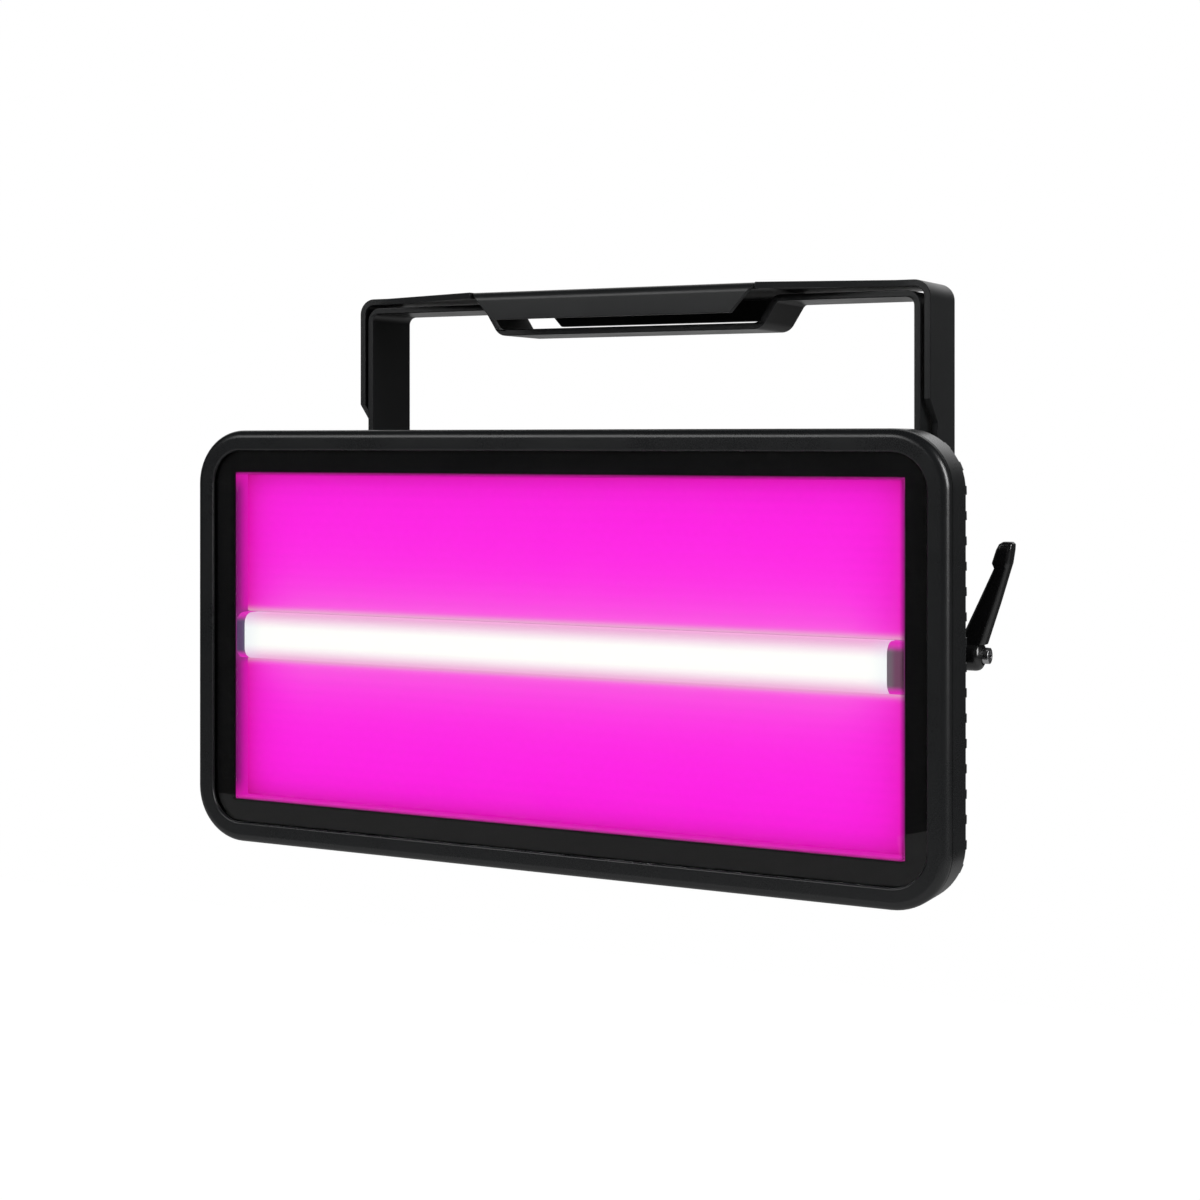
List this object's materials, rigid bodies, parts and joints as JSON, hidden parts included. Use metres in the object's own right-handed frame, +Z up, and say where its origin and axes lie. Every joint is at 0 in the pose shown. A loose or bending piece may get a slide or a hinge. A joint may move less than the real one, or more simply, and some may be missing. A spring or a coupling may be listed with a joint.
{
  "type": "fx panel light",
  "caption": "Stage fx panel light: a wide lit panel with a white strobe tube across it, in a ribbed housing that tilts in a double yoke with clamping levers.",
  "frame": {"origin": "middle of the top face of the outer bracket's clamp plate, where the hanging clamp's bolt passes", "axes": "+X to the light's right as seen from its front, along the panel's width; -Y is the way the light shines at rest; +Z up"},
  "size_m": [0.4314, 0.1613, 0.3019],
  "materials": {
    "housing_plastic": "fine moulded texture",
    "yoke_paint": "black powder coat, fine texture",
    "mask_black": "black print behind glass",
    "clear_glass": "clear, polished",
    "lit_magenta": "opal sheet, lit from behind",
    "lit_white": "opal lens, lit from behind",
    "tube_cap": "satin",
    "white_plastic": "matt white",
    "circuit_board": "solder mask",
    "aluminium": "plain",
    "zinc_steel": "zinc plated",
    "black_rubber": "matt",
    "black_plastic": "satin",
    "lever_plastic": "glass-filled nylon",
    "button_plastic": "satin",
    "display_window": "dark window",
    "blue_plastic": "satin",
    "grey_plastic": "satin"
  },
  "bodies": {
    "yoke": {"outer_bracket": "yoke_paint", "right_lever_washer": "zinc_steel", "left_lever_washer": "zinc_steel"},
    "inner_yoke": {"inner_bracket": "yoke_paint", "right_gap_washer": "zinc_steel", "left_gap_washer": "zinc_steel"},
    "housing": {"front_bezel": "housing_plastic", "glass_gasket": "black_rubber", "front_glass": "clear_glass", "light_mask": "mask_black", "light_box": "white_plastic", "upper_diffuser": "lit_magenta", "lower_diffuser": "lit_magenta", "tube_lens": "lit_white", "tube_end_cap_right": "tube_cap", "tube_end_cap_left": "tube_cap", "tube_reflector": "white_plastic", "white_led_board": "circuit_board", "rgb_led_board_upper": "circuit_board", "rgb_led_board_lower": "circuit_board", "heat_sink": "aluminium", "rear_housing": "housing_plastic", "rear_cover": "housing_plastic", "power_supply": "aluminium", "control_board": "circuit_board", "display_window": "display_window", "power_in_socket": "blue_plastic", "power_out_socket": "grey_plastic", "dmx_in_socket": "zinc_steel", "dmx_out_socket": "zinc_steel", "fuse_holder": "black_plastic", "safety_eye": "zinc_steel", "right_fan_frame": "black_plastic", "left_fan_frame": "black_plastic", "right_fan_guard": "black_plastic", "left_fan_guard": "black_plastic", "right_pivot_boss": "aluminium", "left_pivot_boss": "aluminium", "right_friction_washer": "black_rubber", "left_friction_washer": "black_rubber"},
    "right_clamp": {"right_lever_insert": "zinc_steel", "right_cap_screw": "zinc_steel", "right_lever_spring": "zinc_steel"},
    "left_clamp": {"left_lever_insert": "zinc_steel", "left_cap_screw": "zinc_steel", "left_lever_spring": "zinc_steel"},
    "right_handle": {"right_lever_handle": "lever_plastic"},
    "left_handle": {"left_lever_handle": "lever_plastic"},
    "right_fan": {"right_fan_rotor": "black_plastic"},
    "left_fan": {"left_fan_rotor": "black_plastic"},
    "mode_key": {"mode_button": "button_plastic"},
    "up_key": {"up_button": "button_plastic"},
    "down_key": {"down_button": "button_plastic"},
    "enter_key": {"enter_button": "button_plastic"},
    "latch": {"dmx_out_latch": "zinc_steel"},
    "fuse_lid": {"fuse_cap": "black_plastic"}
  },
  "joints": [
    {"name": "housing_tilt", "type": "hinge", "parent": "yoke", "child": "housing", "pos_m": [0, 0, -0.1929], "axis": [1, 0, 0], "range_deg": [-25, 205]},
    {"name": "inner_bracket_tilt", "type": "hinge", "parent": "housing", "child": "inner_yoke", "pos_m": [0, 0, -0.1929], "axis": [1, 0, 0], "range_deg": [-205, 25]},
    {"name": "right_lever_turn", "type": "hinge", "parent": "housing", "child": "right_clamp", "pos_m": [0, 0, -0.1929], "axis": [1, 0, 0], "range_deg": [0, 120]},
    {"name": "right_lever_lift", "type": "slide", "parent": "right_clamp", "child": "right_handle", "axis": [1, 0, 0], "range_m": [0, 0.003], "stiffness_N_per_m": 1500, "deforming": ["right_lever_spring"]},
    {"name": "right_fan_spin", "type": "hinge", "parent": "housing", "child": "right_fan", "pos_m": [0.1, 0.0243, -0.1894], "axis": [0, 1, 0], "continuous": true},
    {"name": "left_lever_turn", "type": "hinge", "parent": "housing", "child": "left_clamp", "pos_m": [0, 0, -0.1929], "axis": [-1, 0, 0], "range_deg": [0, 120]},
    {"name": "left_lever_lift", "type": "slide", "parent": "left_clamp", "child": "left_handle", "axis": [-1, 0, 0], "range_m": [0, 0.003], "stiffness_N_per_m": 1500, "deforming": ["left_lever_spring"]},
    {"name": "left_fan_spin", "type": "hinge", "parent": "housing", "child": "left_fan", "pos_m": [-0.1, 0.0243, -0.1894], "axis": [0, 1, 0], "continuous": true},
    {"name": "mode_press", "type": "slide", "parent": "housing", "child": "mode_key", "axis": [0, -1, 0], "range_m": [0, 0.0008], "stiffness_N_per_m": 900},
    {"name": "up_press", "type": "slide", "parent": "housing", "child": "up_key", "axis": [0, -1, 0], "range_m": [0, 0.0008], "stiffness_N_per_m": 900},
    {"name": "down_press", "type": "slide", "parent": "housing", "child": "down_key", "axis": [0, -1, 0], "range_m": [0, 0.0008], "stiffness_N_per_m": 900},
    {"name": "enter_press", "type": "slide", "parent": "housing", "child": "enter_key", "axis": [0, -1, 0], "range_m": [0, 0.0008], "stiffness_N_per_m": 900},
    {"name": "dmx_latch_press", "type": "slide", "parent": "housing", "child": "latch", "axis": [0, -1, 0], "range_m": [0, 0.0015], "stiffness_N_per_m": 600},
    {"name": "fuse_cap_turn", "type": "hinge", "parent": "housing", "child": "fuse_lid", "pos_m": [0.044, 0.0284, -0.2374], "axis": [0, 1, 0], "range_deg": [0, 90]}
  ]
}
